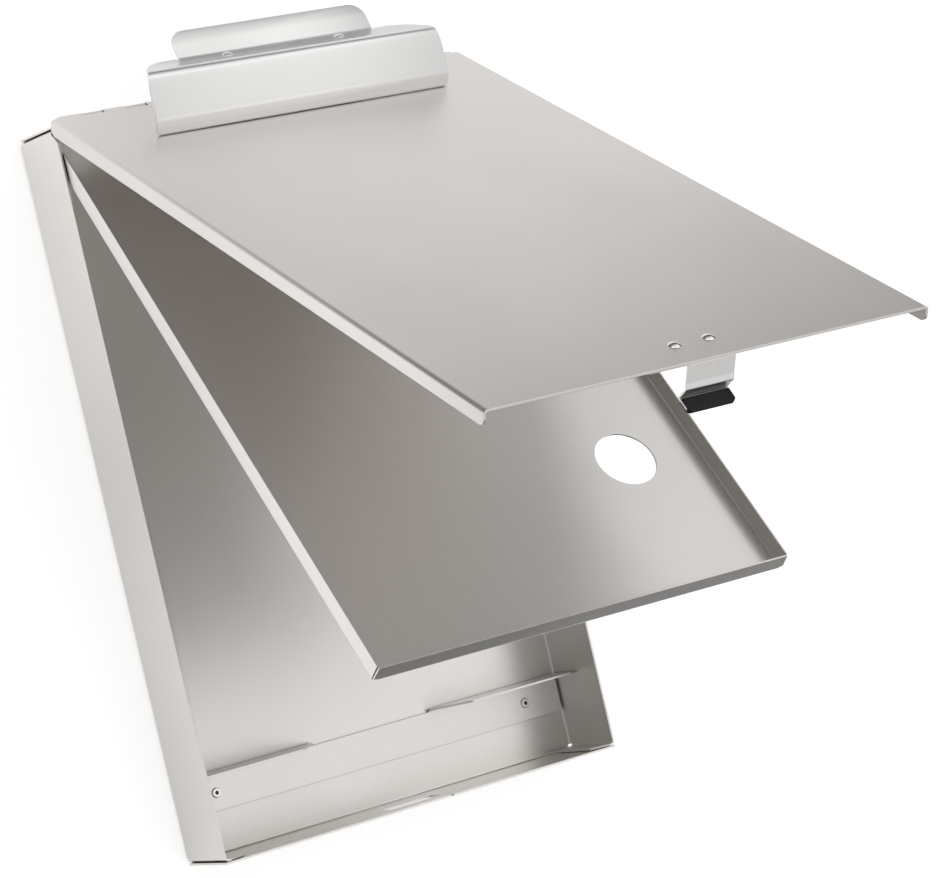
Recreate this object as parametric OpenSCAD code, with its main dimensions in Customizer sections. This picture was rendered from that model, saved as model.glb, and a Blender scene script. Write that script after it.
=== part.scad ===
// Storage clipboard box: a sheet metal case, a swing-out tray and a lid with a spring clip and a latch.
// The origin is the centre of the flat underside. Z points up, and the hinged end is at +Y.
// The pieces stand as stored open: lid_open and tray_open say how far.

/* [Case] */
// outer width of the case
case_width = 230; // [200:1:260]
// outer length of the case
case_length = 360; // [300:1:420]
// outer height of the case
case_height = 41; // [38:0.5:60]
// sheet thickness of the case
case_t = 1; // [0.8:0.1:1.2]
// width of the tabs that turn in behind the end walls
return_w = 13; // [8:1:16]
// dark joint between a side wall and an end wall
seam = 0.3; // [0.2:0.1:0.8]

/* [Lid] */
// sheet thickness of the lid
lid_t = 1.2; // [1:0.1:1.5]
// depth of the lid's side flanges, from its top face
flange_h = 7.5; // [5:0.5:10]
// side gap between a lid flange and the case
lid_side_gap = 0.4; // [0.3:0.1:1]
// how far the lid reaches past the latch end of the case
lid_overhang = 3.45; // [3:0.05:5]
// height of the closed lid over the case's rim
lid_rim_gap = 1.1; // [1.1:0.1:2]
// angle that the lid is open as stored
lid_open = 60.4; // [0:0.1:165]

/* [Lid hinge] */
// radius of the hinge pin
pin_r = 1.2; // [1:0.1:1.5]
// radial running clearance of every pin in its bores
pin_fit = 0.05; // [0.02:0.01:0.09]
// number of rolled knuckles on the lid
lid_knuckles = 10; // [6:1:11]
// distance from the case's side to the end of the hinge
hinge_inset = 3.1; // [2.5:0.1:12]
// side gap between two neighbouring knuckles
knuckle_gap = 0.4; // [0.3:0.1:0.6]
// free space between a case knuckle and the bottom of its slot in the lid
slot_relief = 0.8; // [0.5:0.1:4]

/* [Tray] */
// sheet thickness of the tray
tray_t = 0.8; // [0.7:0.1:1]
// side gap between the tray and the inside of the case
tray_side_gap = 0.5; // [0.4:0.1:1.5]
// height of the tray's walls, from its underside
tray_h = 9.8; // [8:0.1:11]
// reach of the tray from its hinge axis to its outer near wall
tray_reach = 337.4; // [280:0.1:338]
// diameter of the finger hole
finger_d = 31; // [20:1:40]
// distance of the finger hole from the tray's centre line
finger_x = 72.7; // [50:0.1:85]
// distance of the finger hole's centre from the near wall
finger_inset = 79.8; // [40:0.1:120]
// angle that the tray is open as stored
tray_open = 34.9; // [0:0.1:95]

/* [Tray hinge] */
// thickness of the fixed hinge leaf
leaf_t = 1.1; // [0.8:0.1:1.2]
// radius of the tray's hinge pin
tray_pin_r = 1; // [0.8:0.1:1.2]
// number of rolled knuckles on the tray
tray_knuckles = 7; // [4:1:7]
// free space between the tray's hinge and the case's corner tabs
tray_hinge_inset = 2.1; // [1:0.1:8]
// depth of the hinge leaf below the pin's axis
leaf_drop = 15; // [12:0.5:20]

/* [Paper stop] */
// width of the strip on the floor, along the case
stop_w = 19.6; // [16:0.1:30]
// distance of the strip from the outside of the latch end
stop_inset = 21.5; // [18:0.1:60]
// height of the upright tabs over the case's underside
stop_h = 22; // [14:0.5:23]
// clear space between the two upright tabs
stop_gap = 70; // [40:1:120]
// how far the inner end of each upright tab slants
stop_slant = 15; // [4:1:24]
// sheet thickness of the strip
stop_t = 1; // [0.8:0.1:1.2]
// distance between the two hollow rivets
stop_rivet_span = 184; // [120:1:190]

/* [Clip] */
// width of the clip's jaw
clip_w = 165; // [130:1:190]
// how much the jaw narrows on each side, from its lower bend up to the ridge
jaw_taper = 2.2; // [0.5:0.1:6]
// sheet thickness of the jaw
jaw_t = 1.2; // [1:0.1:1.4]
// distance of the jaw's foot from the hinge axis
foot_r = 42; // [40:0.5:46]
// height of the bend above the jaw's foot
lip_h = 8; // [6:0.5:10]
// distance of the ridge from the hinge axis
ridge_r = 30.4; // [28:0.1:33]
// height of the ridge over the lid
ridge_h = 27; // [26:0.5:30]
// distance of the valley bend from the hinge axis
valley_r = 13.5; // [12:0.1:14.5]
// height of the valley bend over the lid
valley_h = 24.4; // [23.5:0.1:25]
// height of the thumb tab's tip over the lid
tab_h = 34; // [31:0.5:36]
// distance of the thumb tab's tip from the hinge axis
tab_r = 1.4; // [1:0.1:3]
// width of the thumb tab
tab_w = 109.4; // [80:0.1:120]
// corner radius of the thumb tab
tab_corner = 8; // [3:0.5:11]
// radius of the clip's pivot pin
pivot_r = 2; // [1.5:0.1:2.2]
// height of the clip's pivot over the lid
pivot_h = 12; // [11:0.5:13]
// width over the ears of the clip's inner bracket
bracket_w = 73; // [60:0.5:90]
// sheet thickness of the inner bracket and of the clip's base
bracket_t = 1.5; // [1.2:0.1:2]

/* [Clip springs] */
// thickness of the spring wire
wire_d = 1.4; // [1:0.1:1.5]
// number of full turns in one spring
spring_turns = 5; // [3:1:7]
// side gap between two turns
turn_gap = 0.55; // [0.45:0.05:0.7]

/* [Latch] */
// thickness of the latch's spring sheet
latch_t = 0.8; // [0.6:0.1:0.8]
// width of the latch's spring leaf
latch_w = 25.2; // [20:0.1:30]
// depth of the hook below the lid's top face
hook_drop = 19.3; // [17:0.1:22]
// reach of the hook past the outer face of the case's wall
hook_reach = 3.3; // [2:0.1:3.8]
// thickness of the soft finger tip
tip_d = 2.6; // [2.2:0.1:3.2]
// distance of the latch's rivets from each other
latch_rivet_span = 18; // [14:0.5:20]

/* [Hidden] */

$fn = 48;
satin = [0.82, 0.81, 0.79];
bright = [0.88, 0.88, 0.87];
steel = [0.66, 0.66, 0.67];
black = [0.07, 0.07, 0.07];

// overrun of a cut past the face that it opens
cut = 2;
// distance between two bodies that pass each other
run_gap = 0.3;
// radial clearance of a rivet in its hole
rivet_fit = 0.05;

// places of the lid's hinge, worked out from the rolled sheets
knuckle_in = pin_r + pin_fit;
lid_knuckle_r = knuckle_in + lid_t;
case_knuckle_r = knuckle_in + case_t;
hinge_y = case_length / 2 + knuckle_in;
hinge_z = case_height + lid_rim_gap + lid_t - lid_knuckle_r;
hinge_span = case_width - 2 * hinge_inset;
knuckle_w = (hinge_span - 2 * (lid_knuckles - 1) * knuckle_gap) / (2 * lid_knuckles - 1);
knuckle_slot = knuckle_w + 2 * knuckle_gap;
knuckle_pitch = knuckle_w + knuckle_slot;
slot_depth = case_knuckle_r + slot_relief;

// bends of the sheets, measured at the middle of the sheet
case_bend = 1.5;
lid_bend = 1.2;
tray_bend = 1.2;
small_bend = 0.7;
wide_bend = 8;
// how far a straight leg runs into the bend beside it, so that the two are one solid
leg_lap = 0.02;
// part of a full turn that a rolled knuckle covers, in degrees
curl_angle = 290;

// lid, in its own frame: r runs from the hinge axis to the free edge, z away from the tray
lid_w = case_width + 2 * (lid_side_gap + lid_t);
lid_l = hinge_y + case_length / 2 + lid_overhang;
lid_top = lid_knuckle_r;
lid_under = lid_top - lid_t;
lid_back = 1.5;
flange_cut = [3.2, 2];
flange_round = 3;

// tray, in its own frame like the lid's
tray_in = tray_pin_r + pin_fit;
tray_knuckle_r = tray_in + tray_t;
leaf_r = tray_in + leaf_t;
tray_axis_y = case_length / 2 - case_t - leaf_r;
tray_axis_z = stop_h + run_gap + tray_knuckle_r;
tray_w = case_width - 2 * (case_t + tray_side_gap);
tray_hinge_span = case_width - 2 * (return_w + tray_hinge_inset);
tray_knuckle_w = (tray_hinge_span - 2 * (tray_knuckles - 1) * knuckle_gap) / (2 * tray_knuckles - 1);
tray_slot = tray_knuckle_w + 2 * knuckle_gap;
tray_pitch = tray_knuckle_w + tray_slot;
tray_slot_depth = leaf_r + 2 * run_gap;
// how far past upright the tray leans at its limit, in degrees
tray_lean = 5.5;
wall_start = (case_height - tray_axis_z + run_gap) / cos(tray_lean);
wall_slant = tray_h * tan(tray_lean);
tray_relief = 0.6;

// rivets: shank radius, head radius and head height of each kind
rivet_small = [1.5, 3.1, 1.2];
rivet_pop = [1.6, 2.6, 0.9];
pop_head_share = 0.8;
rivet_tail_r = 2.3;
rivet_tail_h = 0.7;
pop_hole_r = 1;

// places on the case
return_y = case_length / 2 - case_t - seam - case_t / 2;
corner_relief = case_bend + case_t;
return_taper = 4;
rear_corner_cut = 5;
rim_notch_w = 31;
rim_notch_h = 1;
leaf_rivets = 4;
leaf_rivet_share = 0.6;
leaf_rivet_pitch = 2 * tray_pitch;
leaf_rivet_z = tray_axis_z - leaf_rivet_share * leaf_drop;
stop_rivet_share = 0.45;
stop_rivet_y = -case_length / 2 + stop_inset + stop_rivet_share * stop_w;

// clip, in the lid's frame
foot_z = lid_top + run_gap;
lip_lean = 0.9;
ridge_bend = 2.6;
lip_bend = wide_bend;
valley_bend = 2;
pivot_z = lid_top + pivot_h;
pin_head_share = 1.5;
pivot_back = 4.5;
pivot_y = (ridge_r + valley_r) / 2 - pivot_back;
top_tilt = atan2(ridge_h - valley_h, ridge_r - valley_r);
tab_tilt = atan2(tab_h - valley_h, valley_r - tab_r);
side_tilt = atan2(jaw_taper, ridge_h - lip_h);
plate_lap = 0.5;
plate_end = valley_r - plate_lap;
plate_corner = 15;
tab_notch_w = 1.2;
foot_corner = 2;
ear_r = 5;
jaw_rivet_span = 63;
jaw_rivet_back = 2.5;
jaw_rivet_r = (ridge_r + valley_r) / 2 - jaw_rivet_back;
base_r = [7, 35];
ear_root = [9, 29];
base_rivet_x = 27;
base_rivet_r = [12, 30];
clip_path = [
    [foot_r, foot_z],
    [foot_r - lip_lean, lid_top + lip_h],
    [ridge_r, lid_top + ridge_h],
    [plate_end, lid_top + ridge_h - (ridge_r - plate_end) * tan(top_tilt)]
];
tab_path = [
    [ridge_r - 2 * ridge_bend, lid_top + ridge_h - 2 * ridge_bend * tan(top_tilt)],
    [valley_r, lid_top + valley_h],
    [tab_r, lid_top + tab_h]
];

// springs of the clip
wire_r = wire_d / 2;
coil_gap = 0.4;
coil_r = pivot_r + wire_r + coil_gap;
coil_pitch = wire_d + turn_gap;
coil_inner_x = 12;
leg_down = -53;
leg_up = 30;
rings_per_turn = 8;
wire_sides = 6;

// latch, in the lid's frame
wall_r = hinge_y + case_length / 2;
latch_gap = 0.5;
leaf_mid_r = wall_r + latch_gap + latch_t / 2;
latch_bend = 1.2;
flex_r = leaf_mid_r - latch_bend;
flex_z = lid_under - run_gap - latch_t / 2 - latch_bend;
hook_z = lid_top - hook_drop;
hook_r = wall_r - hook_reach + latch_t / 2;
hook_rise = 5.4;
leaf_turn = 2.8;
bulge = 0.3;
tip_len = 6.6;
tip_slope = 27;
tip_from = 1.5;
tip_side = 0.3;
tip_corner = 2.2;
latch_base_l = 20;
latch_rivet_back = 13;
latch_rivet_r = flex_r - latch_rivet_back;
ear_left = 34;
ear_slant = 4;
edge_inset = 0.8;
leaf_path = [
    [flex_r - run_gap, flex_z + latch_bend],
    [leaf_mid_r, flex_z + latch_bend],
    [leaf_mid_r, hook_z + hook_rise + leaf_turn],
    [leaf_mid_r + bulge, hook_z + hook_rise],
    [hook_r, hook_z],
    [hook_r + tip_len * cos(tip_slope), hook_z - tip_len * sin(tip_slope)]
];
leaf_bends = [0, latch_bend, wide_bend, small_bend, small_bend, 0];
slot_side = 2;
slot_above = 0.6;
slot_below = 4.2;

// spring points: the lower leg, the turns and the upper leg, in (x, r, z)
function coil_at(a) = [
    coil_inner_x + coil_pitch * (a - leg_down) / 360,
    pivot_y + coil_r * cos(a),
    pivot_z + coil_r * sin(a)
];
spring_end = leg_up + 360 * spring_turns;
leg_down_l = (pivot_z + coil_r * sin(leg_down) - lid_top - bracket_t - wire_r) / cos(leg_down);
leg_up_rise = pivot_h + coil_r * sin(leg_up);
bracket_under = ridge_h - (jaw_t / 2 + bracket_t) / cos(top_tilt);
leg_up_room = bracket_under - (ridge_r - pivot_y) * tan(top_tilt) - leg_up_rise;
leg_up_l = (leg_up_room - 1.4 * wire_d) / cos(leg_up);
coil_step = (spring_end - leg_down) / ceil(rings_per_turn * (spring_end - leg_down) / 360);
spring_points = concat(
    [coil_at(leg_down) + leg_down_l * [0, sin(leg_down), -cos(leg_down)]],
    [for (a = [leg_down : coil_step : spring_end + coil_step / 2]) coil_at(a)],
    [coil_at(spring_end) + leg_up_l * [0, -sin(leg_up), cos(leg_up)]]
);

// least gap between two stretches of a wire that are more than half a turn apart
function wire_gap(p, skip, d) =
    min([for (i = [0 : len(p) - 1 - skip]) for (j = [i + skip : len(p) - 1]) norm(p[i] - p[j])]) - d;
echo(spring_least_gap = wire_gap(spring_points, rings_per_turn - 2, wire_d));

// directions and corners of a path
function heading(p, i) = (p[i + 1] - p[i]) / norm(p[i + 1] - p[i]);
function turning(p, i) = acos(heading(p, i - 1) * heading(p, i));
function side(p, i) = sign(cross(heading(p, i - 1), heading(p, i)));
function trim(p, bends, i) = i == 0 || i == len(p) - 1 ? 0 : bends[i] * tan(turning(p, i) / 2);

// A bent sheet seen from its edge: straight legs along a path, joined by round bends.
module bent_profile(path, bends, sheet) {
    for (i = [0 : len(path) - 2]) {
        way = heading(path, i);
        lap_from = i == 0 ? 0 : leg_lap;
        lap_to = i == len(path) - 2 ? 0 : leg_lap;
        from = path[i] + way * (trim(path, bends, i) - lap_from);
        to = path[i + 1] - way * (trim(path, bends, i + 1) - lap_to);
        translate(from)
            rotate(atan2(way.y, way.x))
                translate([0, -sheet / 2])
                    square([norm(to - from), sheet]);
    }
    for (i = [1 : len(path) - 2])
        bend_sector(path, bends[i], sheet, i);
}

// One round bend of a sheet, at corner i of its path.
module bend_sector(path, bend, sheet, i) {
    way_in = heading(path, i - 1);
    way_out = heading(path, i);
    trim_l = bend * tan(turning(path, i) / 2);
    start = path[i] - way_in * trim_l;
    end = path[i] + way_out * trim_l;
    centre = start + side(path, i) * bend * [-way_in.y, way_in.x];
    reach = 3;
    translate(centre)
        intersection() {
            difference() {
                circle(bend + sheet / 2);
                circle(bend - sheet / 2);
            }
            polygon([
                [0, 0],
                reach * (start - centre),
                reach * (path[i] - centre),
                reach * (end - centre)
            ]);
        }
}

// A rolled knuckle seen from its end: it starts on the +X side and turns anticlockwise.
module curl(inner_r, sheet) {
    outer_r = inner_r + sheet;
    open_angle = 360 - curl_angle;
    difference() {
        circle(outer_r);
        circle(inner_r);
        polygon([
            [0, 0],
            2 * outer_r * [cos(open_angle), -sin(open_angle)],
            2 * outer_r * [cos(open_angle / 2), -sin(open_angle / 2)],
            2 * outer_r * [1, 0]
        ]);
    }
}

// Extrudes an outline in (y, z) across the width, centred.
module across(width) {
    rotate([90, 0, 90])
        linear_extrude(width, center = true)
            children();
}

// Extrudes an outline in (r, z) of the lid or the tray across the width, centred.
module across_panel(width) {
    mirror([0, 1, 0])
        across(width)
            children();
}

// Extrudes an outline in (x, z) along the length, from one distance from the axis to another.
module along_panel(from_r, to_r) {
    translate([0, -from_r, 0])
        rotate([90, 0, 0])
            linear_extrude(to_r - from_r)
                children();
}

// The frame of the opened lid, with its origin on the hinge axis.
module on_lid() {
    translate([0, hinge_y, hinge_z])
        rotate([-lid_open, 0, 0])
            children();
}

// The frame of the opened tray, with its origin on the tray's hinge axis.
module on_tray() {
    translate([0, tray_axis_y, tray_axis_z])
        rotate([-tray_open, 0, 0])
            children();
}

// Puts its children at each of a row of places along X, centred.
module row(count, pitch) {
    for (i = [0 : count - 1])
        translate([(i - (count - 1) / 2) * pitch, 0, 0])
            children();
}

// Puts its children on the right and, mirrored, on the left.
module both_sides() {
    for (flip = [0, 1])
        mirror([flip, 0, 0])
            children();
}

// The waste of a rounded corner at the origin: it lies in the quarter of -X and -Y.
module corner_waste(radius, depth) {
    linear_extrude(depth, center = true)
        difference() {
            translate([-radius, -radius])
                square(radius + cut);
            translate([-radius, -radius])
                circle(radius);
        }
}

// A round domed rivet through a grip, head up, with its tail below.
module rivet(kind, grip) {
    dome_r = (kind[1] * kind[1] + kind[2] * kind[2]) / (2 * kind[2]);
    rotate_extrude()
        intersection() {
            translate([0, kind[2] - dome_r])
                circle(dome_r, $fn = 96);
            square([kind[1], kind[2]]);
        }
    translate([0, 0, -grip])
        cylinder(h = grip, r = kind[0]);
    translate([0, 0, -grip - rivet_tail_h])
        cylinder(h = rivet_tail_h, r = rivet_tail_r);
}

// A clearance hole for a rivet, along Z through the origin.
module rivet_hole(kind, depth) {
    cylinder(h = 2 * depth, r = kind[0] + rivet_fit, center = true);
}

// Case: the floor with its side walls, as one bent outline in (x, z).
module case_sides() {
    bent_profile([
        [-case_width / 2 + case_t / 2, case_height],
        [-case_width / 2 + case_t / 2, case_t / 2],
        [case_width / 2 - case_t / 2, case_t / 2],
        [case_width / 2 - case_t / 2, case_height]
    ], [0, case_bend, case_bend, 0], case_t);
}

// Case: the floor with its end walls, as one bent outline in (y, z).
module case_ends() {
    bent_profile([
        [-case_length / 2 + case_t / 2, case_height],
        [-case_length / 2 + case_t / 2, case_t / 2],
        [case_length / 2 - case_t / 2, case_t / 2],
        [case_length / 2 - case_t / 2, case_height]
    ], [0, case_bend, case_bend, 0], case_t);
}

// Case: the corner tab of a side wall, bent in behind an end wall, at the right of the hinged end.
module case_return() {
    tab_z = corner_relief;
    side_x = case_width / 2 - case_t / 2;
    translate([0, 0, tab_z])
        linear_extrude(case_height - tab_z)
            bent_profile([
                [side_x, return_y - 2 * case_bend],
                [side_x, return_y],
                [side_x - 2 * case_bend, return_y]
            ], [0, case_bend, 0], case_t);
    translate([0, return_y + case_t / 2, 0])
        rotate([90, 0, 0])
            linear_extrude(case_t)
                polygon([
                    [side_x - case_bend, tab_z],
                    [side_x + case_t / 2 - return_w, tab_z + return_taper],
                    [side_x + case_t / 2 - return_w, case_height - return_taper],
                    [side_x - case_bend, case_height]
                ]);
}

// Case pan: floor, four walls, corner tabs and the fixed hinge knuckles.
module case_pan() {
    side_half = return_y - case_bend;
    color(satin) {
        difference() {
            union() {
                along_panel(-side_half, side_half)
                    case_sides();
                across(case_width - 2 * corner_relief)
                    case_ends();
                for (end = [-1, 1])
                    translate([0, end * (case_length - case_t) / 2, (case_height + corner_relief) / 2])
                        cube([case_width, case_t, case_height - corner_relief], center = true);
                both_sides()
                    for (end = [0, 1])
                        mirror([0, end, 0])
                            case_return();
            }
            lid_knuckle_notches();
            latch_openings();
            rear_corner_waste();
            case_rivet_holes();
        }
        row(lid_knuckles - 1, knuckle_pitch)
            case_knuckle();
    }
}

// Case: one rolled knuckle on the end wall, with the wall below it.
module case_knuckle() {
    across(knuckle_w) {
        translate([hinge_y, hinge_z])
            mirror([1, 0])
                curl(knuckle_in, case_t);
        translate([case_length / 2 - case_t, case_height / 2])
            square([case_t, hinge_z - case_height / 2]);
    }
}

// Case: notches in the hinged end wall, where the lid's knuckles turn.
module lid_knuckle_notches() {
    notch_floor = hinge_z - lid_knuckle_r - run_gap;
    translate([0, case_length / 2 - case_t / 2, (notch_floor + case_height + cut) / 2])
        cube([hinge_span + 2 * knuckle_gap, 2 * case_t, case_height + cut - notch_floor], center = true);
}

// Case: the slot for the latch's hook and the shallow notch in the rim above it.
module latch_openings() {
    across(latch_w + 2 * slot_side)
        translate([-case_length / 2 - case_t, hinge_z + hook_z - slot_below])
            square([4 * case_t, slot_below + hook_rise + slot_above]);
    translate([0, -case_length / 2, case_height])
        cube([rim_notch_w, 4 * case_t, 2 * rim_notch_h], center = true);
}

// Case: the slanted top corners of the side walls at the hinged end.
module rear_corner_waste() {
    wall_end = return_y - case_bend;
    both_sides()
        translate([case_width / 2, 0, 0])
            across(2 * case_bend)
                polygon([
                    [wall_end - rear_corner_cut, case_height],
                    [wall_end, case_height - rear_corner_cut],
                    [return_y + case_t / 2, case_height - rear_corner_cut],
                    [return_y + case_t / 2, case_height + cut],
                    [wall_end - rear_corner_cut, case_height + cut]
                ]);
}

// Case: holes for the rivets of the paper stop and of the tray's hinge leaf.
module case_rivet_holes() {
    row(2, stop_rivet_span)
        translate([0, stop_rivet_y, 0])
            rivet_hole(rivet_pop, case_t + cut);
    row(leaf_rivets, leaf_rivet_pitch)
        translate([0, case_length / 2, leaf_rivet_z])
            rotate([90, 0, 0])
                rivet_hole(rivet_small, case_t + cut);
}

// Paper stop: a strip across the floor with two upright tabs on its hinge side.
module paper_stop() {
    strip_w = case_width - 2 * (case_t + case_bend);
    near_y = -case_length / 2 + stop_inset;
    tab_w = (strip_w - stop_gap) / 2;
    corner = 3;
    slant_z = case_t + 2 * stop_t + small_bend;
    color(satin)
        difference() {
            union() {
                across(strip_w)
                    translate([near_y, case_t])
                        square([stop_w - stop_t - small_bend, stop_t]);
                both_sides()
                    translate([(stop_gap + tab_w) / 2, 0, 0])
                        across(tab_w)
                            bent_profile([
                                [near_y + stop_w / 2, case_t + stop_t / 2],
                                [near_y + stop_w - stop_t / 2, case_t + stop_t / 2],
                                [near_y + stop_w - stop_t / 2, stop_h]
                            ], [0, small_bend + stop_t / 2, 0], stop_t);
            }
            both_sides() {
                translate([strip_w / 2, near_y + stop_w, stop_h])
                    rotate([90, 0, 0])
                        corner_waste(corner, stop_w);
                translate([0, near_y + stop_w + cut, 0])
                    rotate([90, 0, 0])
                        linear_extrude(stop_w / 2)
                            polygon([
                                [stop_gap / 2 - cut, slant_z],
                                [stop_gap / 2, slant_z],
                                [stop_gap / 2 + stop_slant, stop_h],
                                [stop_gap / 2 + stop_slant, stop_h + cut],
                                [stop_gap / 2 - cut, stop_h + cut]
                            ]);
                translate([strip_w / 2, near_y, case_t])
                    mirror([0, 1, 0])
                        corner_waste(corner, 4 * stop_t);
            }
            row(2, stop_rivet_span)
                translate([0, stop_rivet_y, case_t])
                    rivet_hole(rivet_pop, stop_t + cut);
        }
}

// Paper stop rivets: two hollow rivets through the strip and the floor.
module paper_stop_rivets() {
    head_z = case_t + stop_t;
    color(steel)
        row(2, stop_rivet_span)
            translate([0, stop_rivet_y, 0])
                difference() {
                    union() {
                        translate([0, 0, head_z])
                            cylinder(h = rivet_pop[2], r1 = rivet_pop[1],
                                r2 = rivet_pop[1] * pop_head_share);
                        cylinder(h = head_z, r = rivet_pop[0]);
                    }
                    translate([0, 0, case_t / 2])
                        cylinder(h = head_z + cut, r = pop_hole_r);
                }
}

// Lid hinge pin: one straight wire through all knuckles.
module lid_hinge_pin() {
    color(steel)
        translate([0, hinge_y, hinge_z])
            rotate([0, 90, 0])
                cylinder(h = hinge_span + 2 * knuckle_gap, r = pin_r, center = true);
}

// Tray hinge leaf: a strip on the inside of the end wall, with rolled knuckles.
module tray_hinge_leaf() {
    notch_drop = tray_knuckle_r + run_gap;
    color(satin)
        translate([0, tray_axis_y, tray_axis_z]) {
            difference() {
                across(tray_hinge_span)
                    translate([tray_in, -leaf_drop])
                        square([leaf_t, leaf_drop - notch_drop]);
                row(leaf_rivets, leaf_rivet_pitch)
                    translate([0, leaf_r, leaf_rivet_z - tray_axis_z])
                        rotate([90, 0, 0])
                            rivet_hole(rivet_small, leaf_t + cut);
            }
            row(tray_knuckles - 1, tray_pitch)
                across(tray_knuckle_w) {
                    curl(tray_in, leaf_t);
                    translate([tray_in, -leaf_drop / 2])
                        square([leaf_t, leaf_drop / 2]);
                }
        }
}

// Tray hinge pin.
module tray_hinge_pin() {
    color(steel)
        translate([0, tray_axis_y, tray_axis_z])
            rotate([0, 90, 0])
                cylinder(h = tray_hinge_span, r = tray_pin_r, center = true);
}

// Tray hinge rivets: heads on the back of the case, tails on the leaf.
module tray_hinge_rivets() {
    color(bright)
        row(leaf_rivets, leaf_rivet_pitch)
            translate([0, case_length / 2, leaf_rivet_z])
                rotate([-90, 0, 0])
                    rivet(rivet_small, case_t + leaf_t);
}

// Tray: the floor with its side walls, as one bent outline in (x, z).
module tray_sides() {
    wall_x = tray_w / 2 - tray_t / 2;
    floor_z = -tray_knuckle_r + tray_t / 2;
    rim_z = -tray_knuckle_r + tray_h;
    bent_profile([
        [-wall_x, rim_z],
        [-wall_x, floor_z],
        [wall_x, floor_z],
        [wall_x, rim_z]
    ], [0, tray_bend, tray_bend, 0], tray_t);
}

// Tray pan: the swing-out middle pan with its finger hole.
module tray_pan() {
    under = -tray_knuckle_r;
    near_r = tray_reach - tray_t / 2;
    side_end = tray_reach - tray_t - tray_relief;
    floor_half = tray_w / 2 - tray_bend - tray_t;
    color(satin)
        on_tray() {
            difference() {
                union() {
                    along_panel(wall_start, side_end)
                        tray_sides();
                    across_panel(2 * floor_half)
                        bent_profile([
                            [tray_slot_depth, under + tray_t / 2],
                            [near_r, under + tray_t / 2],
                            [near_r, under + tray_h]
                        ], [0, tray_bend, 0], tray_t);
                    translate([0, -tray_reach, 0])
                        near_wall();
                }
                tray_wall_slants();
                translate([finger_x, finger_inset - tray_reach, under])
                    cylinder(h = 4 * tray_t, r = finger_d / 2, center = true);
            }
            row(tray_knuckles, tray_pitch)
                across_panel(tray_knuckle_w) {
                    mirror([1, 0])
                        rotate(-90)
                            curl(tray_in, tray_t);
                    translate([0, under])
                        square([2 * tray_slot_depth, tray_t]);
                }
        }
}

// Tray: the full width of the near wall, with slanted ends, above the corner reliefs.
module near_wall() {
    low = -tray_knuckle_r + tray_bend + tray_t;
    high = -tray_knuckle_r + tray_h;
    mirror([0, 1, 0])
        rotate([90, 0, 0])
            linear_extrude(tray_t)
                polygon([
                    [-tray_w / 2, low],
                    [tray_w / 2, low],
                    [tray_w / 2 - tray_relief, high],
                    [tray_relief - tray_w / 2, high]
                ]);
}

// Tray: the slanted rear ends of the side walls.
module tray_wall_slants() {
    rim_z = tray_h - tray_knuckle_r;
    both_sides()
        translate([tray_w / 2, 0, 0])
            across_panel(2 * (tray_bend + tray_t))
                polygon([
                    [0, -tray_knuckle_r + tray_bend + tray_t],
                    [wall_start, -tray_knuckle_r + tray_bend + tray_t],
                    [wall_start + wall_slant, rim_z + cut],
                    [0, rim_z + cut]
                ]);
}

// Lid: the panel with its side flanges, as one bent outline in (x, z).
module lid_sides() {
    flange_x = lid_w / 2 - lid_t / 2;
    bent_profile([
        [-flange_x, lid_top - flange_h],
        [-flange_x, lid_top - lid_t / 2],
        [flange_x, lid_top - lid_t / 2],
        [flange_x, lid_top - flange_h]
    ], [0, lid_bend, lid_bend, 0], lid_t);
}

// Lid panel: the writing surface with its flanges and rolled hinge knuckles.
module lid_panel() {
    color(satin)
        on_lid() {
            difference() {
                along_panel(lid_back, lid_l)
                    lid_sides();
                row(lid_knuckles - 1, knuckle_pitch)
                    translate([0, 0, lid_under])
                        cube([knuckle_slot, 2 * slot_depth, 4 * lid_t], center = true);
                flange_end_waste();
                lid_rivet_holes();
            }
            row(lid_knuckles, knuckle_pitch)
                across_panel(knuckle_w) {
                    mirror([1, 0])
                        rotate(-90)
                            mirror([1, 0])
                                curl(knuckle_in, lid_t);
                    translate([0, lid_under])
                        square([slot_depth, lid_t]);
                }
        }
}

// Lid: what is cut off the flanges' ends, slanted at the hinge and rounded at the free edge.
module flange_end_waste() {
    low = lid_top - flange_h;
    across_panel(lid_w + 2 * cut)
        polygon([
            [0, low - cut],
            [lid_back + flange_cut.x, low - cut],
            [lid_back + flange_cut.x, low],
            [lid_back, low + flange_cut.y],
            [0, low + flange_cut.y]
        ]);
    translate([0, -lid_l, low])
        rotate([0, 90, 0])
            mirror([0, 1, 0])
                corner_waste(flange_round, lid_w + 2 * cut);
}

// Lid: holes for the rivets of the clip's base and of the latch.
module lid_rivet_holes() {
    both_sides()
        for (r = base_rivet_r)
            translate([base_rivet_x, -r, lid_top])
                rivet_hole(rivet_small, lid_t + cut);
    row(2, latch_rivet_span)
        translate([0, -latch_rivet_r, lid_top])
            rivet_hole(rivet_small, lid_t + cut);
}

// An ear with a bore for the clip's pivot, seen from the side, with its root at one height.
module ear(root_z, root_from, root_to, bore_r) {
    difference() {
        union() {
            translate([pivot_y, pivot_z])
                circle(ear_r);
            polygon([
                [pivot_y - ear_r, pivot_z],
                [root_from, root_z[0]],
                [root_to, root_z[1]],
                [pivot_y + ear_r, pivot_z]
            ]);
        }
        translate([pivot_y, pivot_z])
            circle(bore_r);
    }
}

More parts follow.
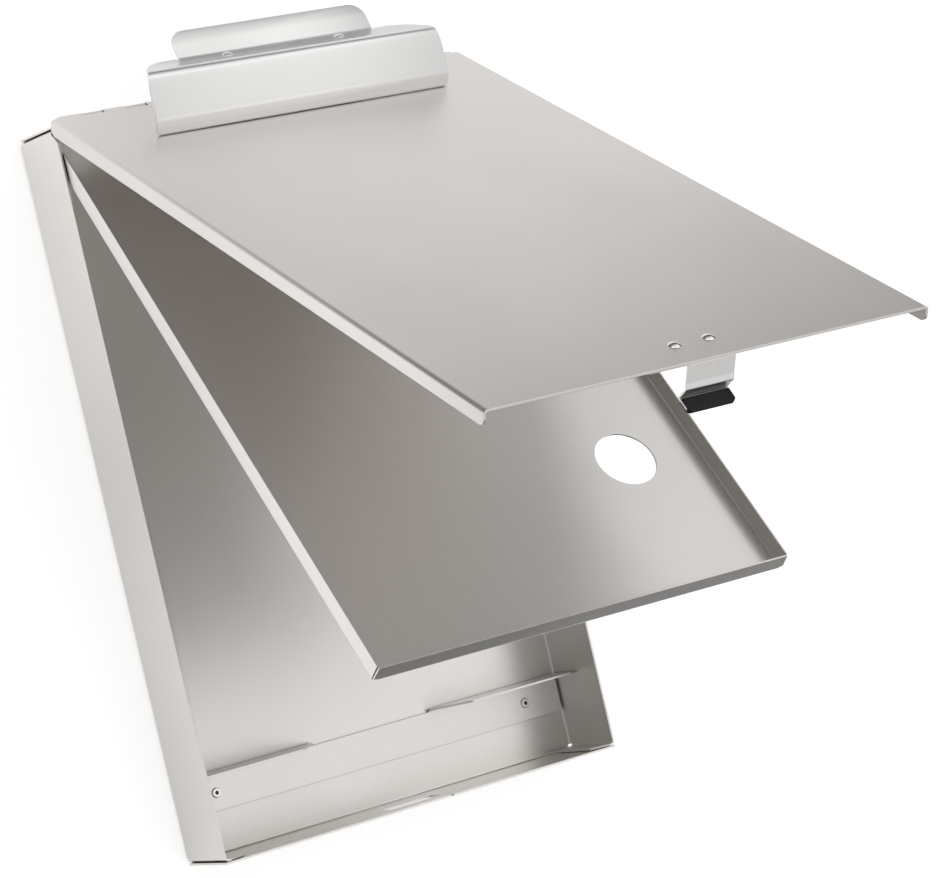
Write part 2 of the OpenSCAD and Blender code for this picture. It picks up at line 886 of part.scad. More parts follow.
// Clip base: a plate on the lid with two upright ears for the pivot pin.
module clip_base() {
    ear_x = bracket_w / 2 + run_gap + bracket_t / 2;
    plate_top = lid_top + bracket_t;
    color(steel)
        on_lid()
            difference() {
                union() {
                    across_panel(2 * ear_x + bracket_t)
                        translate([base_r[0], lid_top])
                            square([base_r[1] - base_r[0], bracket_t]);
                    for (x = [-ear_x, ear_x])
                        translate([x, 0, 0])
                            across_panel(bracket_t)
                                ear([lid_top, lid_top],
                                    ear_root[0], ear_root[1], pivot_r + pin_fit);
                }
                both_sides()
                    for (r = base_rivet_r)
                        translate([base_rivet_x, -r, plate_top])
                            rivet_hole(rivet_small, bracket_t + cut);
            }
}

// Clip base rivets: four, through the base and the lid.
module clip_base_rivets() {
    color(steel)
        on_lid()
            both_sides()
                for (r = base_rivet_r)
                    translate([base_rivet_x, -r, lid_top + bracket_t])
                        rivet(rivet_small, bracket_t + lid_t);
}

// Clip pin: the pivot, with a head at each end.
module clip_pin() {
    half = bracket_w / 2 + run_gap + bracket_t;
    head_h = 1.2;
    color(steel)
        on_lid()
            translate([0, -pivot_y, pivot_z])
                rotate([0, 90, 0]) {
                    cylinder(h = 2 * half, r = pivot_r, center = true);
                    for (end = [-1, 1])
                        translate([0, 0, end * (half + head_h / 2)])
                            cylinder(h = head_h, r = pivot_r * pin_head_share, center = true);
                }
}

// A tube along points in (x, r, z), with straight end legs: its rings face away from the pivot.
module wire(points, radius, sides) {
    n = len(points);
    way = [for (i = [0 : n - 1]) points[min(i + 1, n - 1)] - points[max(i - 1, 0)]];
    lean = [for (i = [0 : n - 1])
        let (k = min(max(i, 1), n - 2))
        [0, points[k].y - pivot_y, points[k].z - pivot_z]];
    rings = [for (i = [0 : n - 1])
        let (t = way[i] / norm(way[i]), u0 = lean[i] - (lean[i] * t) * t)
        let (u = u0 / norm(u0), v = cross(t, u))
        for (s = [0 : sides - 1])
            points[i] + radius * (cos(360 * s / sides) * u + sin(360 * s / sides) * v)];
    walls = [for (i = [0 : n - 2]) for (s = [0 : sides - 1])
        let (a = i * sides + s, b = i * sides + (s + 1) % sides)
        each [[a, b, a + sides], [b, b + sides, a + sides]]];
    caps = [for (s = [1 : sides - 2])
        each [[0, s + 1, s], [(n - 1) * sides, (n - 1) * sides + s, (n - 1) * sides + s + 1]]];
    polyhedron(rings, concat(walls, caps));
}

// Clip springs: two wound torsion springs round the pivot pin.
module clip_springs() {
    color(steel)
        on_lid()
            both_sides()
                mirror([0, 1, 0])
                    wire(spring_points, wire_r, wire_sides);
}

// Clip jaw: one bent sheet with the foot, the sloping front, the top plate and the thumb tab.
module clip_jaw() {
    color(bright)
        on_lid()
            difference() {
                union() {
                    across_panel(clip_w)
                        bent_profile(clip_path, [0, lip_bend, ridge_bend, 0], jaw_t);
                    across_panel(tab_w)
                        bent_profile(tab_path, [0, valley_bend, 0], jaw_t);
                }
                both_sides() {
                    jaw_side_waste();
                    translate([tab_w / 2, -tab_r, lid_top + tab_h])
                        rotate([tab_tilt, 0, 0])
                            corner_waste(tab_corner, 4 * jaw_t);
                    translate([clip_w / 2, -foot_r, foot_z])
                        rotate([-90, 0, 0])
                            corner_waste(foot_corner, 4 * jaw_t);
                    translate([tab_w / 2 + tab_notch_w / 2, -plate_end, lid_top + valley_h])
                        cube([tab_notch_w, 2 * tab_notch_w, 4 * jaw_t], center = true);
                }
                row(2, jaw_rivet_span)
                    on_top_plate(0)
                        rivet_hole(rivet_small, 2 * jaw_t);
            }
}

// Clip jaw: outside the slanted side edge, from the lower bend up, with the top plate's round corner.
module jaw_side_waste() {
    translate([clip_w / 2, -plate_end, lid_top + lip_h])
        rotate([0, -side_tilt, 0]) {
            translate([0, -foot_r, -lip_h])
                cube([2 * jaw_taper, 2 * foot_r, 2 * ridge_h]);
            translate([0, 0, valley_h - lip_h])
                corner_waste(plate_corner, 4 * ridge_bend);
        }
}

// Places its children over the jaw's top plate at the rivets, a distance out of its middle.
module on_top_plate(out) {
    translate([0, -jaw_rivet_r, lid_top + ridge_h - (ridge_r - jaw_rivet_r) * tan(top_tilt)])
        rotate([-top_tilt, 0, 0])
            translate([0, 0, out])
                children();
}

// Clip bracket: a strip riveted under the top plate, with two ears down to the pivot.
module clip_bracket() {
    drop = (jaw_t + bracket_t) / 2 / cos(top_tilt);
    half = bracket_w / 2;
    from_r = plate_end + 2 * valley_bend;
    to_r = ridge_r - 1.2 * ridge_bend;
    from_z = lid_top + ridge_h - (ridge_r - from_r) * tan(top_tilt) - drop;
    to_z = lid_top + ridge_h - (ridge_r - to_r) * tan(top_tilt) - drop;
    color(steel)
        on_lid()
            difference() {
                union() {
                    across_panel(bracket_w)
                        bent_profile([[from_r, from_z], [to_r, to_z]], [0, 0], bracket_t);
                    for (end = [-1, 1])
                        translate([end * (half - bracket_t / 2), 0, 0])
                            across_panel(bracket_t)
                                ear([from_z, to_z], from_r, to_r, pivot_r + pin_fit);
                }
                row(2, jaw_rivet_span)
                    on_top_plate(-jaw_t)
                        rivet_hole(rivet_small, 2 * bracket_t);
            }
}

// Clip jaw rivets: two, through the top plate and the bracket.
module clip_jaw_rivets() {
    color(bright)
        on_lid()
            row(2, jaw_rivet_span)
                on_top_plate(jaw_t / 2)
                    rivet(rivet_small, jaw_t + bracket_t);
}

// Latch base: the flat strip under the lid, with an ear at the left of the spring leaf.
module latch_base() {
    half = latch_w / 2;
    far_r = flex_r - latch_base_l;
    base_end = flex_r - latch_bend;
    edge_r = lid_l - edge_inset;
    color(bright)
        on_lid()
            difference() {
                translate([0, 0, lid_under - latch_t])
                    linear_extrude(latch_t)
                        polygon([
                            [half, -far_r],
                            [half, -base_end],
                            [-half - run_gap, -base_end],
                            [-half - run_gap, -edge_r],
                            [-ear_left, -edge_r],
                            [-ear_left + ear_slant, -far_r]
                        ]);
                row(2, latch_rivet_span)
                    translate([0, -latch_rivet_r, lid_under])
                        rivet_hole(rivet_small, latch_t + cut);
            }
}

// Latch rivets: two, through the lid and the latch's base.
module latch_rivets() {
    color(bright)
        on_lid()
            row(2, latch_rivet_span)
                translate([0, -latch_rivet_r, lid_top])
                    rivet(rivet_small, lid_t + latch_t);
}

// Latch spring: the leaf that bends down past the lid's edge, with its inward hook.
module latch_spring() {
    color(bright)
        on_lid()
            across_panel(latch_w)
                bent_profile(leaf_path, leaf_bends, latch_t);
}

// Latch tip: a soft sleeve over the flared end of the leaf, with rounded corners.
module latch_tip() {
    flare = leaf_path[5] - leaf_path[4];
    way = flare / norm(flare);
    start = leaf_path[4] + way * tip_from;
    end = leaf_path[5] + way * tip_d / 4;
    tip_w = latch_w - 2 * tip_side;
    color(black)
        on_lid()
            difference() {
                across_panel(tip_w) {
                    translate(end)
                        circle(tip_d / 2);
                    bent_profile([start, end], [0, 0], tip_d);
                }
                across_panel(latch_w)
                    bent_profile([leaf_path[4], leaf_path[5]], [0, 0], latch_t);
                both_sides()
                    translate([tip_w / 2, -end.x, end.y])
                        rotate([tip_slope, 0, 0])
                            translate([0, -tip_d / 2, 0])
                                mirror([0, 1, 0])
                                    corner_waste(tip_corner, 2 * tip_d);
            }
}

case_pan();
paper_stop();
paper_stop_rivets();
lid_hinge_pin();
tray_hinge_leaf();
tray_hinge_pin();
tray_hinge_rivets();
tray_pan();
lid_panel();
clip_base();
clip_base_rivets();
clip_pin();
clip_springs();
latch_base();
latch_rivets();
clip_jaw();
clip_bracket();
clip_jaw_rivets();
latch_spring();
latch_tip();
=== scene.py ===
import math

import bmesh
import bpy
from mathutils import Matrix, Vector


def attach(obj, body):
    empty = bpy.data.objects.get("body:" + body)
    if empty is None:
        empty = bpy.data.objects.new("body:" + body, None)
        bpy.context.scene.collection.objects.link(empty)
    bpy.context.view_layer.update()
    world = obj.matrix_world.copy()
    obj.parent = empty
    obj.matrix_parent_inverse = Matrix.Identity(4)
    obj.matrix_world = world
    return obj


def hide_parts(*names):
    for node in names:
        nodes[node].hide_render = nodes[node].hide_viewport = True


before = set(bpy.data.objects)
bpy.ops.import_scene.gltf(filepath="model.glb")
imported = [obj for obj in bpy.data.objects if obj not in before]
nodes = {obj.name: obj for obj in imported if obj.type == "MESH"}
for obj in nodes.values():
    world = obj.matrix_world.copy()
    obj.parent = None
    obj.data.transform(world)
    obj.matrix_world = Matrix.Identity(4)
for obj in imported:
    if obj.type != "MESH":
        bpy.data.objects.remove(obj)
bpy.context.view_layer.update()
scene = bpy.context.scene

# how far the lid and the tray stand open, in degrees, and the lid's axis, in metres
LID_OPEN = 60.4
TRAY_OPEN = 34.9
LID_AXIS = Vector((0, 0.18125, 0.04085))

# camera: place in metres, directions, sensor width and focal length in millimetres
CAMERA_PLACE = (-0.85719, 0.00711, 1.53483)
CAMERA_RIGHT = (0.82551, -0.2268, 0.51681)
CAMERA_DOWN = (-0.1977, -0.97389, -0.11159)
CAMERA_FORWARD = (0.52863, -0.01006, -0.8488)
SENSOR = 36
LENS = 133.39

# floor: size, how far it lies under the object, and how bright reflections see it,
# as pools of light with a centre and stops of distance and brightness, in metres
FLOOR_SIZE = 8
FLOOR_DROP = 0.0004
FLOOR_GLOW_TO_CAMERA = 0.5
FLOOR_GLOW_TO_METAL = 0.42
POOLS = [
    ((0.74, -0.62, 0.0), [(0.0, 0.14), (0.3, 0.08), (0.48, 0.0)]),
    ((0.30, 0.22, 0.0), [(0.0, 0.94), (0.2, 0.88), (0.4, 0.73), (0.6, 0.58), (0.8, 0.12), (1.05, 0.07)]),
    ((-0.42, -0.14, 0.0), [(0.0, 0.72), (0.2, 0.56), (0.35, 0.12), (0.43, 0.0)]),
    ((-0.26, 0.24, 0.0), [(0.0, 0.34), (0.12, 0.28), (0.28, 0.0)]),
]

# studio walls: brightness by the height of a direction, from -1 straight down to 1 straight up
SKY = [(-0.1, 0.10), (0.1, 0.20), (0.3, 0.52), (0.45, 0.67), (0.85, 0.90)]
# patches of the walls that are dimmer or brighter: direction, cosines of the rim and of the core, gain
WALL_PATCHES = [
    ((-0.53, 0.01, 0.85), 0.80, 0.975, 0.30),
    ((0.53, -0.62, 0.58), 0.80, 0.95, 1.25),
    ((0.53, 0.58, 0.61), 0.80, 0.95, 1.28),
]

# square soft lamps: name, place, target, side in metres, power in watts
LAMPS = [
    ("key", (-0.9, 1.7, 1.9), (0.0, 0.0, 0.1), 1.4, 7),
    ("fill", (1.6, 1.8, 1.2), (0.0, 0.1, 0.15), 1.2, 1.4),
]

# brushed metal: noise cells per metre across the grain and along it, and the share of them in the broader grain
GRAIN_ACROSS = 3600.0
GRAIN_ALONG = 16.0
BROAD_GRAIN = 0.22
# for each direction of the grain: its own direction and the order of coordinates on sheets that end it,
# and the direction that takes its place there
GRAINS = {
    "X": ((1, 0, 0), (2, 1, 0), (0, 0, 1)),
    "Y": ((0, 1, 0), (0, 2, 1), (0, 0, 1)),
    "Z": ((0, 0, 1), (0, 2, 1), (0, 1, 0)),
}
SMUDGES = (14, 9, 14)
# noise cells per metre of the patches of lighter edges, from edge wear and a painted highlight
SCUFF_AND_GLINT_CELLS = (260, 260, 260)
GRAIN_HEIGHT = 0.00002
# how far the painted shade in seams and crevices reaches, in metres
PAINTED_SHADE_REACH = 0.0022
NODE_SAMPLES = 6

# metals: slot, colour, roughness, other settings and the nodes that they dress
METALS = [
    ("case_metal", (0.81, 0.785, 0.757), 0.32,
     {"spread": 0.015, "depth": 0.10, "painted_crevice_shade": 0.5},
     ["case_pan"]),
    ("stop_metal", (0.82, 0.80, 0.775), 0.34,
     {"grain": "X", "spread": 0.015, "depth": 0.10, "painted_crevice_shade": 0.5},
     ["paper_stop", "tray_hinge_leaf"]),
    ("lid_metal", (0.78, 0.750, 0.725), 0.35,
     {"open_deg": LID_OPEN, "faces": [((0, 0, -1), -0.19)]},
     ["lid_panel"]),
    ("tray_metal", (0.815, 0.795, 0.775), 0.37,
     {"open_deg": TRAY_OPEN, "faces": [((0, -1, 0), -0.14)]},
     ["tray_pan"]),
    ("clip_metal", (0.84, 0.832, 0.822), 0.30,
     {"open_deg": LID_OPEN, "grain": "X", "depth": 0.03, "spread": 0.006, "swing": 0.008},
     ["clip_jaw"]),
    ("rivet_metal", (0.90, 0.90, 0.90), 0.18,
     {"open_deg": LID_OPEN, "grain": "Z", "depth": 0.05, "edge": 0.0002},
     ["paper_stop_rivets", "tray_hinge_rivets", "clip_base_rivets", "latch_rivets", "clip_jaw_rivets"]),
    ("pin_steel", (0.60, 0.60, 0.61), 0.32,
     {"grain": "X", "edge": 0.0001},
     ["lid_hinge_pin", "tray_hinge_pin", "clip_pin"]),
    ("spring_steel", (0.64, 0.64, 0.65), 0.30,
     {"open_deg": LID_OPEN, "grain": "X", "edge": 0.0001},
     ["clip_base", "clip_springs", "clip_bracket"]),
    ("latch_steel", (0.75, 0.74, 0.73), 0.30,
     {"open_deg": LID_OPEN, "edge": 0.00015},
     ["latch_base", "latch_spring"]),
]

# clip jaw, in millimetres: the sheet's middle line from the foot to the thumb tab as distance from the lid's axis
# and height over it, the radii of its bends, and the cuts of the flat blank
JAW_LINE = [(42.0, 2.75), (41.1, 10.45), (30.4, 29.45), (13.5, 26.85), (1.4, 36.45)]
JAW_BENDS = [0, 8.0, 4.5, 2.0, 0]
JAW_T = 1.2
JAW_HALF = 82.4
FOOT_ROUND = 3.0
PLATE_END = 13.3
PLATE_ROUND = (21.0, 27.0)
TAB_HALF = 54.7
TAB_ROUND = 8.0
NOTCH = 1.2
SAME_SPOT = 1e-3
# rims that turn more than this angle, in radians, are rounded by this radius, in metres
RIM_TURN = 1.2
RIM_ROUND = 0.00022
SMOOTH_BELOW = 35


def make_camera():
    data = bpy.data.cameras.new("camera")
    cam = bpy.data.objects.new("camera", data)
    scene.collection.objects.link(cam)
    right, down, forward = (Vector(v).normalized() for v in (CAMERA_RIGHT, CAMERA_DOWN, CAMERA_FORWARD))
    turn = Matrix((right, -down, -forward)).transposed().to_4x4()
    cam.matrix_world = Matrix.Translation(CAMERA_PLACE) @ turn
    data.sensor_fit = "HORIZONTAL"
    data.sensor_width = SENSOR
    data.lens = LENS
    data.clip_start = 0.05
    data.clip_end = 30
    scene.camera = cam


def fresh(name):
    m = bpy.data.materials.new(name)
    m.use_nodes = True
    m.node_tree.nodes.clear()
    return m, m.node_tree


def feed(nt, socket, value):
    """Link a socket to value, or hold value as its constant."""
    if isinstance(value, bpy.types.NodeSocket):
        nt.links.new(value, socket)
    else:
        socket.default_value = value


def math_node(nt, op, a, b=None, clamp=False):
    n = nt.nodes.new("ShaderNodeMath")
    n.operation = op
    n.use_clamp = clamp
    feed(nt, n.inputs[0], a)
    if b is not None:
        feed(nt, n.inputs[1], b)
    return n.outputs[0]


def vector_math(nt, op, a, b):
    n = nt.nodes.new("ShaderNodeVectorMath")
    n.operation = op
    feed(nt, n.inputs[0], a)
    feed(nt, n.inputs["Scale" if op == "SCALE" else 1], b)
    return n.outputs["Value" if op in ("DOT_PRODUCT", "DISTANCE") else "Vector"]


def map_range(nt, value, a, b, c, d):
    n = nt.nodes.new("ShaderNodeMapRange")
    feed(nt, n.inputs["Value"], value)
    for key, v in zip(("From Min", "From Max", "To Min", "To Max"), (a, b, c, d)):
        feed(nt, n.inputs[key], v)
    return n.outputs[0]


def noise(nt, coords, scale, detail=2.0, rough=0.5):
    """scale is a triple: how many noise cells there are per metre along X, Y and Z."""
    mp = nt.nodes.new("ShaderNodeMapping")
    mp.inputs["Scale"].default_value = scale
    nt.links.new(coords, mp.inputs["Vector"])
    n = nt.nodes.new("ShaderNodeTexNoise")
    n.inputs["Scale"].default_value = 1.0
    n.inputs["Detail"].default_value = detail
    n.inputs["Roughness"].default_value = rough
    nt.links.new(mp.outputs[0], n.inputs["Vector"])
    return n.outputs["Fac"]


def mix_color(nt, fac, a, b):
    n = nt.nodes.new("ShaderNodeMix")
    n.data_type = "RGBA"
    feed(nt, n.inputs[0], fac)
    for i, v in ((6, a), (7, b)):
        feed(nt, n.inputs[i], (*v, 1) if isinstance(v, tuple) else v)
    return n.outputs[2]


def mix_vector(nt, fac, a, b):
    n = nt.nodes.new("ShaderNodeMix")
    n.data_type = "VECTOR"
    feed(nt, n.inputs[0], fac)
    feed(nt, n.inputs[4], a)
    feed(nt, n.inputs[5], b)
    return n.outputs[1]


def ramp(nt, value, stops):
    """A smooth grey ramp through stops of place and brightness."""
    n = nt.nodes.new("ShaderNodeValToRGB")
    n.color_ramp.interpolation = "EASE"
    points = n.color_ramp.elements
    while len(points) < len(stops):
        points.new(0.5)
    for point, (place, grey) in zip(points, stops):
        point.position = place
        point.color = (grey, grey, grey, 1)
    nt.links.new(value, n.inputs[0])
    return n.outputs[0]


def shader(nt, kind, **values):
    """A shader node with its sockets fed by name, with _ for a space."""
    n = nt.nodes.new(kind)
    for key, value in values.items():
        feed(nt, n.inputs[key.replace("_", " ")], value)
    return n


def finish_material(nt, surface):
    out = nt.nodes.new("ShaderNodeOutputMaterial")
    nt.links.new(surface.outputs[0], out.inputs[0])


def panel_to_frame(open_deg):
    return Matrix.Rotation(math.radians(-open_deg), 3, "X")


def sheet_frame(nt, open_deg, grain):
    """Coordinates and grain direction in the sheet's own frame; both follow the sheet up its end walls."""
    along, order, beside = GRAINS[grain]
    tc = nt.nodes.new("ShaderNodeTexCoord")
    turned = []
    for key, kind in (("Object", "POINT"), ("Normal", "VECTOR")):
        mp = nt.nodes.new("ShaderNodeMapping")
        mp.vector_type = kind
        mp.inputs["Rotation"].default_value = (math.radians(open_deg), 0, 0)
        nt.links.new(tc.outputs[key], mp.inputs["Vector"])
        turned.append(mp.outputs[0])
    coords, normal = turned
    split = nt.nodes.new("ShaderNodeSeparateXYZ")
    nt.links.new(normal, split.inputs[0])
    facing = math_node(nt, "ABSOLUTE", split.outputs["XYZ".index(grain)])
    end_wall = math_node(nt, "GREATER_THAN", facing, 0.71)
    parts = nt.nodes.new("ShaderNodeSeparateXYZ")
    nt.links.new(coords, parts.inputs[0])
    swapped = nt.nodes.new("ShaderNodeCombineXYZ")
    for i, k in enumerate(order):
        nt.links.new(parts.outputs[k], swapped.inputs[i])
    back = panel_to_frame(open_deg)
    way = mix_vector(nt, end_wall, tuple(back @ Vector(along)), tuple(back @ Vector(beside)))
    to_world = nt.nodes.new("ShaderNodeVectorTransform")
    to_world.vector_type = "VECTOR"
    to_world.convert_from = "OBJECT"
    to_world.convert_to = "WORLD"
    nt.links.new(way, to_world.inputs[0])
    return mix_vector(nt, end_wall, coords, swapped.outputs[0]), to_world.outputs[0]


def metal(name, colour, rough, open_deg=0.0, grain="Y", depth=0.15, aniso=0.35, edge=0.00025,
          spread=0.02, mottle=0.02, swing=0.02, painted_crevice_shade=0.30, faces=()):
    """Brushed sheet metal: long fine grain in colour, roughness and bump, soft smudges, edges lighter from wear and
    a painted highlight, painted shade in seams and crevices.

    faces lists directions in the panel's own frame and how much rougher the faces that look there are.
    """
    m, nt = fresh(name)
    coords, way = sheet_frame(nt, open_deg, grain)
    scale = tuple(GRAIN_ALONG if axis == grain else GRAIN_ACROSS for axis in "XYZ")
    fine = noise(nt, coords, scale, 3.0, 0.6)
    broad = noise(nt, coords, tuple(v * BROAD_GRAIN for v in scale), 2.0, 0.5)
    brushed = math_node(nt, "ADD", math_node(nt, "MULTIPLY", fine, 0.65), math_node(nt, "MULTIPLY", broad, 0.35))
    smudge = noise(nt, coords, SMUDGES, 3.0, 0.55)

    bevel = nt.nodes.new("ShaderNodeBevel")
    bevel.samples = NODE_SAMPLES
    bevel.inputs["Radius"].default_value = edge
    geometry = nt.nodes.new("ShaderNodeNewGeometry")
    flatness = vector_math(nt, "DOT_PRODUCT", bevel.outputs[0], geometry.outputs["Normal"])
    # edges lighter in colour, in patches: partly edge wear, partly a painted highlight where edges catch light
    scuff_and_glint = map_range(nt, noise(nt, coords, SCUFF_AND_GLINT_CELLS), 0.35, 0.65, 0.35, 1.0)
    wear_and_edge_highlight = math_node(nt, "MULTIPLY", map_range(nt, flatness, 0.995, 0.8, 0.0, 1.0), scuff_and_glint)

    dull = tuple(c * (1 - spread) for c in colour)
    bright = tuple(min(1.0, c * (1 + spread)) for c in colour)
    base = mix_color(nt, map_range(nt, brushed, 0.3, 0.7, 0.0, 1.0), dull, bright)
    base = mix_color(nt, wear_and_edge_highlight, base, tuple(min(1.0, c * 1.15) for c in colour))
    # painted shade: ambient occlusion darkens the colour in seams, crevices and under parts, where shade falls
    crevice_shade_ao = nt.nodes.new("ShaderNodeAmbientOcclusion")
    crevice_shade_ao.samples = NODE_SAMPLES
    crevice_shade_ao.inputs["Distance"].default_value = PAINTED_SHADE_REACH
    out_of_painted_shade = map_range(nt, crevice_shade_ao.outputs["AO"], 0.25, 0.8, 0.0, 1.0)
    base = mix_color(nt, out_of_painted_shade, tuple(c * painted_crevice_shade for c in colour), base)

    r = math_node(nt, "ADD", map_range(nt, brushed, 0.3, 0.7, rough - swing, rough + swing),
                  map_range(nt, smudge, 0.3, 0.7, -mottle, mottle))
    for towards, change in faces:
        tc = nt.nodes.new("ShaderNodeTexCoord")
        looks = vector_math(nt, "DOT_PRODUCT", tc.outputs["Normal"], panel_to_frame(open_deg) @ Vector(towards))
        r = math_node(nt, "ADD", r, map_range(nt, looks, 0.4, 0.9, 0.0, change))
    r = math_node(nt, "SUBTRACT", r, math_node(nt, "MULTIPLY", wear_and_edge_highlight, 0.08), clamp=True)

    bump = shader(nt, "ShaderNodeBump", Strength=depth, Distance=GRAIN_HEIGHT, Height=brushed,
                  Normal=bevel.outputs[0])
    finish_material(nt, shader(nt, "ShaderNodeBsdfPrincipled", Metallic=1.0, Anisotropic=aniso, Tangent=way,
                               Base_Color=base, Roughness=r, Normal=bump.outputs[0]))
    return m


def rubber(name):
    m, nt = fresh(name)
    tc = nt.nodes.new("ShaderNodeTexCoord")
    pit = noise(nt, tc.outputs["Object"], (2200, 2200, 2200))
    dust = noise(nt, tc.outputs["Object"], (160, 160, 160), 3.0)
    bump = shader(nt, "ShaderNodeBump", Strength=0.4, Distance=0.00005, Height=pit)
    finish_material(nt, shader(nt, "ShaderNodeBsdfPrincipled",
                               Base_Color=mix_color(nt, dust, (0.006, 0.006, 0.006), (0.014, 0.014, 0.013)),
                               Roughness=map_range(nt, dust, 0.3, 0.7, 0.42, 0.56),
                               Specular_IOR_Level=0.25, Normal=bump.outputs[0]))
    return m


def dress(o, material):
    o.data.materials.clear()
    o.data.materials.append(material)
    for poly in o.data.polygons:
        poly.material_index = 0


def dress_all():
    jaw = make_jaw()
    for slot, colour, rough, settings, dressed in METALS:
        material = metal(slot, colour, rough, **settings)
        for node in dressed:
            dress(jaw if node == "clip_jaw" else nodes[node], material)
    dress(nodes["latch_tip"], rubber("tip_rubber"))


def bent_line(points, bends):
    """Stations along a bent sheet: arc length, place and normal, with a fine step round the bends."""
    points = [Vector(p) for p in points]
    ways = [(b - a).normalized() for a, b in zip(points, points[1:])]
    spots = [(points[0], ways[0])]
    for point, radius, before, after in zip(points[1:], bends[1:], ways, ways[1:]):
        turn = before.angle_signed(after)
        side = -1 if turn > 0 else 1
        start = point - before * radius * math.tan(abs(turn) / 2)
        centre = start + Vector((-before.y, before.x)) * radius * side
        steps = max(6, int(abs(math.degrees(turn)) / 5))
        for k in range(steps + 1):
            swing = Matrix.Rotation(-turn * k / steps, 2)
            spots.append((centre + swing @ (start - centre), swing @ before))
    spots.append((points[-1], ways[-1]))
    stations = []
    run = 0.0
    for i, (spot, way) in enumerate(spots):
        if i:
            run += (spot - spots[i - 1][0]).length
        stations.append((run, spot, Vector((-way.y, way.x))))
    return stations


def corner_points(cx, cy, rx, ry, from_deg, to_deg, steps):
    angles = [math.radians(from_deg + (to_deg - from_deg) * k / steps) for k in range(steps + 1)]
    return [(cx + rx * math.cos(a), cy + ry * math.sin(a)) for a in angles]


def make_jaw():
    """The jaw as one blank, cut with its rounded top corners and folded along its bends."""
    line = bent_line(JAW_LINE, JAW_BENDS)
    # the valley bend starts at fold; beside the tab, the plate runs on flat to its end
    ridge, valley, tip = (Vector(p) for p in JAW_LINE[2:])
    flat = (valley - ridge).normalized()
    valley_turn = abs(flat.angle_signed((tip - valley).normalized()))
    fold = valley - flat * JAW_BENDS[3] * math.tan(valley_turn / 2)
    flat_up = Vector((-flat.y, flat.x))
    s_fold = next(s for s, spot, up in line if (spot - fold).length < SAME_SPOT)
    s_end = s_fold + (fold.x - PLATE_END) / -flat.x
    s_tip = line[-1][0]
    half = corner_points(JAW_HALF - FOOT_ROUND, FOOT_ROUND, FOOT_ROUND, FOOT_ROUND, -90, 0, 6)
    half += corner_points(JAW_HALF - PLATE_ROUND[0], s_end - PLATE_ROUND[1], *PLATE_ROUND, 0, 90, 30)
    half += [(TAB_HALF + NOTCH, s_end), (TAB_HALF + NOTCH, s_fold - NOTCH / 2), (TAB_HALF, s_fold - NOTCH / 2)]
    half += corner_points(TAB_HALF - TAB_ROUND, s_tip - TAB_ROUND, TAB_ROUND, TAB_ROUND, 0, 90, 14)
    outline = half + [(-x, y) for x, y in reversed(half)]

    blank = bmesh.new()
    blank.faces.new([blank.verts.new((x, y, 0)) for x, y in outline])
    for s, spot, up in line[1:-1]:
        bmesh.ops.bisect_plane(blank, geom=blank.verts[:] + blank.edges[:] + blank.faces[:], dist=1e-4,
                               plane_co=(0, s, 0), plane_no=(0, 1, 0))

    to_frame = Matrix.Translation(LID_AXIS) @ panel_to_frame(LID_OPEN).to_4x4()

    def placed(x, s, off):
        if s > s_fold and abs(x) > TAB_HALF + NOTCH / 2:
            spot, up = fold + flat * (s - s_fold), flat_up
        else:
            k = max(i for i in range(len(line) - 1) if line[i][0] <= s + SAME_SPOT)
            (s_a, spot_a, up_a), (s_b, spot_b, up_b) = line[k:k + 2]
            share = (s - s_a) / (s_b - s_a)
            spot = spot_a.lerp(spot_b, share)
            up = up_a.lerp(up_b, share).normalized()
        q = spot + up * off
        return to_frame @ (Vector((x, -q.x, q.y)) / 1000)

    sheet = bmesh.new()
    inner = {v: sheet.verts.new(placed(v.co.x, v.co.y, -JAW_T / 2)) for v in blank.verts}
    outer = {v: sheet.verts.new(placed(v.co.x, v.co.y, JAW_T / 2)) for v in blank.verts}
    for f in blank.faces:
        sheet.faces.new([inner[v] for v in f.verts])
        sheet.faces.new([outer[v] for v in reversed(f.verts)])
    for e in blank.edges:
        if len(e.link_faces) == 1:
            a, b = e.verts
            sheet.faces.new([inner[a], inner[b], outer[b], outer[a]])
    bmesh.ops.recalc_face_normals(sheet, faces=sheet.faces[:])
    rims = [e for e in sheet.edges if len(e.link_faces) == 2 and e.calc_face_angle() > RIM_TURN]
    bmesh.ops.bevel(sheet, geom=rims, offset=RIM_ROUND, segments=2, profile=0.5, affect="EDGES")
    me = bpy.data.meshes.new("clip_jaw_sheet")
    sheet.to_mesh(me)
    sheet.free()
    blank.free()
    for poly in me.polygons:
        poly.use_smooth = True
    me.set_sharp_from_angle(angle=math.radians(SMOOTH_BELOW))
    o = bpy.data.objects.new("clip_jaw_sheet", me)
    scene.collection.objects.link(o)
    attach(o, "clip")
    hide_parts("clip_jaw")
    return o


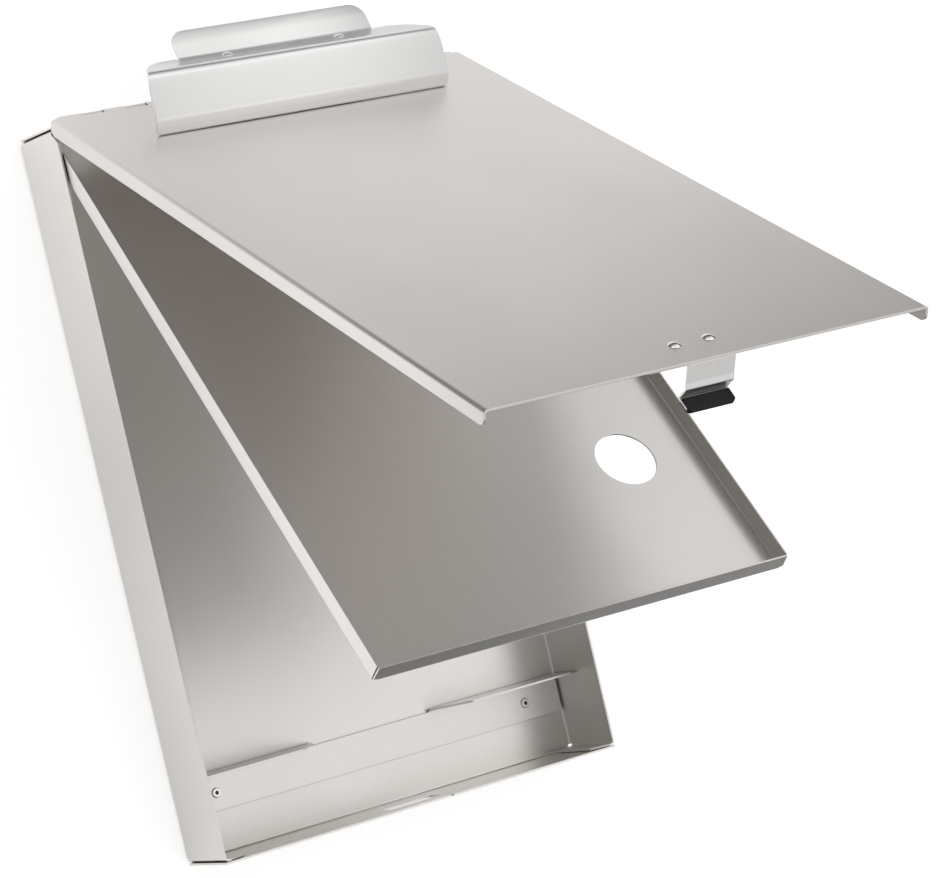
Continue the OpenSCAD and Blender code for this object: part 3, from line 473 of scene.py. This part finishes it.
def make_floor():
    """White to the camera, and to reflections pools of light that fade towards the front and the sides."""
    half = FLOOR_SIZE / 2
    me = bpy.data.meshes.new("floor")
    me.from_pydata([(x, y, -FLOOR_DROP) for x, y in ((-half, -half), (half, -half), (half, half), (-half, half))],
                   [], [(0, 1, 2, 3)])
    o = bpy.data.objects.new("floor", me)
    scene.collection.objects.link(o)
    m, nt = fresh("floor_white")
    tc = nt.nodes.new("ShaderNodeTexCoord")
    path = nt.nodes.new("ShaderNodeLightPath")
    shiny = math_node(nt, "MAXIMUM", path.outputs["Is Glossy Ray"], path.outputs["Is Transmission Ray"])
    white = mix_color(nt, noise(nt, tc.outputs["Object"], (300, 300, 300)), (0.84, 0.84, 0.84), (0.86, 0.86, 0.86))
    pool = None
    for centre, stops in POOLS:
        far = vector_math(nt, "DISTANCE", tc.outputs["Object"], centre)
        part = ramp(nt, math_node(nt, "MULTIPLY", far, 0.5), [(d * 0.5, v) for d, v in stops])
        pool = part if pool is None else math_node(nt, "ADD", pool, part)
    body = shader(nt, "ShaderNodeBsdfDiffuse",
                  Color=mix_color(nt, shiny, white, vector_math(nt, "MULTIPLY", white, pool)))
    strength = math_node(nt, "ADD", math_node(nt, "MULTIPLY", path.outputs["Is Camera Ray"], FLOOR_GLOW_TO_CAMERA),
                         math_node(nt, "MULTIPLY", shiny, FLOOR_GLOW_TO_METAL))
    glow = shader(nt, "ShaderNodeEmission", Color=mix_color(nt, shiny, (1.0, 1.0, 1.0), pool), Strength=strength)
    both = nt.nodes.new("ShaderNodeAddShader")
    nt.links.new(body.outputs[0], both.inputs[0])
    nt.links.new(glow.outputs[0], both.inputs[1])
    finish_material(nt, both)
    o.data.materials.append(m)


def make_world():
    """Soft studio walls: brightest overhead, dimmer towards the horizon, with a few dimmer and brighter patches."""
    w = bpy.data.worlds.new("world")
    scene.world = w
    w.use_nodes = True
    nt = w.node_tree
    nt.nodes.clear()
    tc = nt.nodes.new("ShaderNodeTexCoord")
    towards = tc.outputs["Generated"]
    split = nt.nodes.new("ShaderNodeSeparateXYZ")
    nt.links.new(towards, split.inputs[0])
    height = math_node(nt, "ADD", math_node(nt, "MULTIPLY", split.outputs[2], 0.5), 0.5)
    walls = ramp(nt, height, [(0.5 + 0.5 * z, v) for z, v in SKY])
    shade = 1.0
    for middle, rim, core, gain in WALL_PATCHES:
        near = vector_math(nt, "DOT_PRODUCT", towards, Vector(middle).normalized())
        shade = math_node(nt, "MULTIPLY", shade, map_range(nt, near, rim, core, 1.0, gain))
    walls = vector_math(nt, "SCALE", walls, shade)
    path = nt.nodes.new("ShaderNodeLightPath")
    background = shader(nt, "ShaderNodeBackground", Strength=1.0,
                        Color=mix_color(nt, path.outputs["Is Camera Ray"], walls, (1.0, 1.0, 1.0)))
    out = nt.nodes.new("ShaderNodeOutputWorld")
    nt.links.new(background.outputs[0], out.inputs[0])


def make_lamps():
    for name, place, target, side, power in LAMPS:
        data = bpy.data.lights.new(name, "AREA")
        data.shape = "RECTANGLE"
        data.size = side
        data.size_y = side
        data.energy = power
        o = bpy.data.objects.new(name, data)
        scene.collection.objects.link(o)
        o.location = place
        o.rotation_euler = (Vector(target) - Vector(place)).to_track_quat("-Z", "Y").to_euler()


make_camera()
dress_all()
make_floor()
make_world()
make_lamps()

scene.view_settings.view_transform = "Standard"
